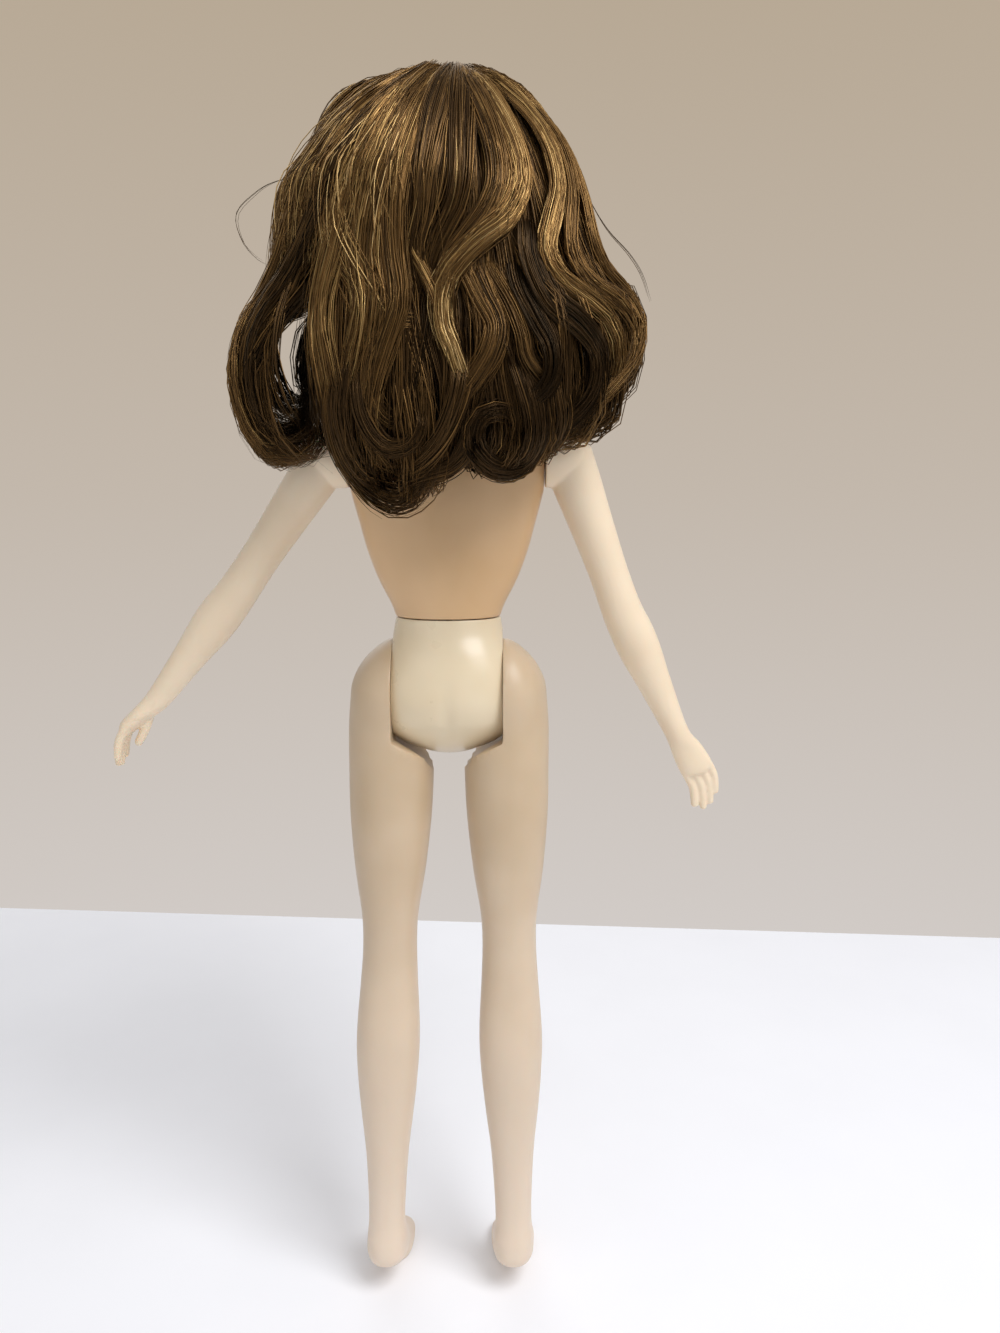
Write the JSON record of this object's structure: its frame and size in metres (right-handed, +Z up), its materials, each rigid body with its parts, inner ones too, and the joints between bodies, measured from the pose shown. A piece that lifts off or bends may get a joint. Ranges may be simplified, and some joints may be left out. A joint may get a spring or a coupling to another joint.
{
  "type": "fashion doll",
  "caption": "Slim standing fashion doll with rooted rolled hair, hollow shell torso and pelvis, and a head, waist, arms and legs that turn.",
  "frame": {"origin": "on the surface that the doll stands on, under the middle of its bounding box", "axes": "+Z up from the soles to the crown, the doll faces -Y, and its left side is +X"},
  "size_m": [0.1464, 0.0568, 0.2819],
  "materials": {
    "hard_plastic": "satin moulded",
    "soft_vinyl": "soft satin vinyl",
    "inner_plastic": "plain moulded",
    "hair": "fine brown fibre"
  },
  "bodies": {
    "pelvis": {"pelvis_front": "hard_plastic", "pelvis_back": "hard_plastic", "waist_pivot": "inner_plastic"},
    "torso": {"upper_torso_front": "hard_plastic", "upper_torso_back": "hard_plastic", "neck_post": "inner_plastic"},
    "head": {"head_shell": "soft_vinyl", "hair_left_temple": "hair", "hair_left_side": "hair", "hair_left_roll": "hair", "hair_back_left": "hair", "hair_back_centre": "hair", "hair_back_right": "hair", "hair_right_roll": "hair", "hair_right_side": "hair", "hair_right_temple": "hair", "hair_fringe_right": "hair", "hair_fringe_left": "hair"},
    "left_arm": {"left_arm": "soft_vinyl"},
    "right_arm": {"right_arm": "soft_vinyl"},
    "left_leg": {"left_leg": "soft_vinyl", "left_hip_peg": "inner_plastic"},
    "right_leg": {"right_leg": "soft_vinyl", "right_hip_peg": "inner_plastic"}
  },
  "joints": [
    {"name": "waist_twist", "type": "hinge", "parent": "pelvis", "child": "torso", "pos_m": [-0.00769, -0.00679, 0.164], "axis": [0, 0, 1], "continuous": true},
    {"name": "neck_turn", "type": "hinge", "parent": "torso", "child": "head", "pos_m": [-0.00769, -0.00679, 0.2308], "axis": [0, 0, 1], "range_deg": [-90, 90], "deforming": ["hair_left_roll", "hair_back_left", "hair_back_centre", "hair_back_right", "hair_right_roll"]},
    {"name": "left_shoulder", "type": "hinge", "parent": "torso", "child": "left_arm", "pos_m": [0.01491, -0.00679, 0.2011], "axis": [-1, 0, 0], "continuous": true, "deforming": ["hair_left_side", "hair_left_temple"]},
    {"name": "right_shoulder", "type": "hinge", "parent": "torso", "child": "right_arm", "pos_m": [-0.03029, -0.00679, 0.2011], "axis": [-1, 0, 0], "continuous": true, "deforming": ["hair_right_side", "hair_right_temple"]},
    {"name": "left_hip", "type": "hinge", "parent": "pelvis", "child": "left_leg", "pos_m": [0.00581, -0.00679, 0.1448], "axis": [-1, 0, 0], "range_deg": [-25, 90]},
    {"name": "right_hip", "type": "hinge", "parent": "pelvis", "child": "right_leg", "pos_m": [-0.02119, -0.00679, 0.1448], "axis": [-1, 0, 0], "range_deg": [-25, 90]}
  ]
}
